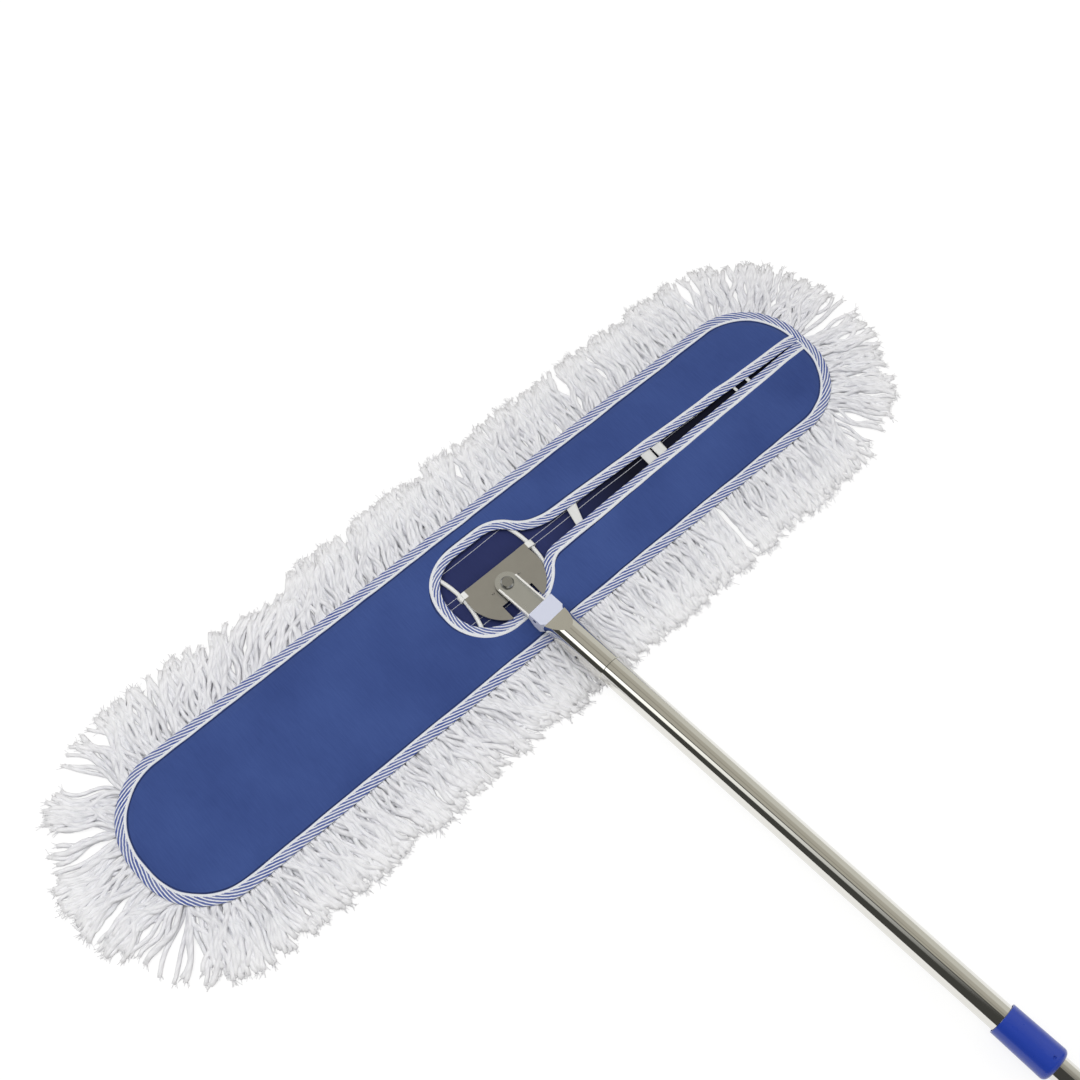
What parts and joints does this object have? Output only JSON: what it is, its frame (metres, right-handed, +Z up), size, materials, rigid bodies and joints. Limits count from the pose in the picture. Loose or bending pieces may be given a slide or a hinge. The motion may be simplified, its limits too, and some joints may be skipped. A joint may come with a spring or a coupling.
{
  "type": "dust mop",
  "caption": "Wide flat dust mop: fringed yarn head with a canvas cover over a wire frame, and a swivelling, tilting telescopic steel handle.",
  "frame": {"origin": "middle of the head's sole, on the floor", "axes": "+X along the head towards the tip of the keyhole's slot, -Y towards the handle, +Z up"},
  "size_m": [1.044, 1.4132, 0.0471],
  "materials": {
    "yarn": "soft looped cotton-blend yarn",
    "base_canvas": "matt plain-weave canvas",
    "cover_canvas": "matt plain-weave canvas",
    "binding_tape": "twill tape with a white selvedge",
    "tie_tape": "woven tape",
    "frame_wire": "zinc-plated wire",
    "coated_wire": "white dipped coating",
    "plate_steel": "satin stainless sheet",
    "fastener_steel": "turned stainless",
    "washer_plastic": "plain acetal",
    "tube_steel": "polished stainless tube",
    "nylon": "moulded nylon",
    "collar_plastic": "glossy moulded plastic",
    "grip_plastic": "satin moulded plastic",
    "inner_plastic": "moulded acetal"
  },
  "bodies": {
    "head": {"sole_yarn": "yarn", "yarn_fringe": "yarn", "base_cloth": "base_canvas", "top_cover": "cover_canvas", "edge_binding": "binding_tape", "keyhole_binding": "binding_tape", "slot_ties": "tie_tape", "wire_loop": "frame_wire", "cross_wires": "coated_wire", "swivel_plate": "plate_steel", "backing_washer": "plate_steel", "spacer_washer": "washer_plastic", "swivel_rivet": "fastener_steel"},
    "bracket": {"swivel_bracket": "plate_steel"},
    "handle": {"hinge_block": "nylon", "hinge_pin": "fastener_steel", "handle_sleeve": "tube_steel", "sleeve_rivet": "fastener_steel", "lower_tube": "tube_steel", "collet_ferrule": "inner_plastic"},
    "collar": {"lock_collar": "collar_plastic"},
    "glide": {"glide_bush": "inner_plastic"},
    "upper": {"upper_tube": "tube_steel", "hand_grip": "grip_plastic"}
  },
  "joints": [
    {"name": "head_swivel", "type": "hinge", "parent": "head", "child": "bracket", "pos_m": [0.0056, -0.0106, 0.01746], "axis": [0, 0, 1], "continuous": true},
    {"name": "handle_tilt", "type": "hinge", "parent": "bracket", "child": "handle", "pos_m": [0.00955, -0.06445, 0.03226], "axis": [-0.9973, -0.0732, 0], "range_deg": [0, 91]},
    {"name": "collar_twist", "type": "hinge", "parent": "handle", "child": "collar", "pos_m": [0.05318, -0.65849, 0.0237], "axis": [0.0732, -0.9972, -0.0144], "range_deg": [0, 120]},
    {"name": "handle_extend", "type": "slide", "parent": "handle", "child": "glide", "axis": [0.0732, -0.9972, -0.0144], "range_m": [-0.44, 0.055]},
    {"name": "handle_turn", "type": "hinge", "parent": "glide", "child": "upper", "pos_m": [0.04895, -0.60096, 0.02453], "axis": [0.0732, -0.9972, -0.0144], "continuous": true}
  ]
}
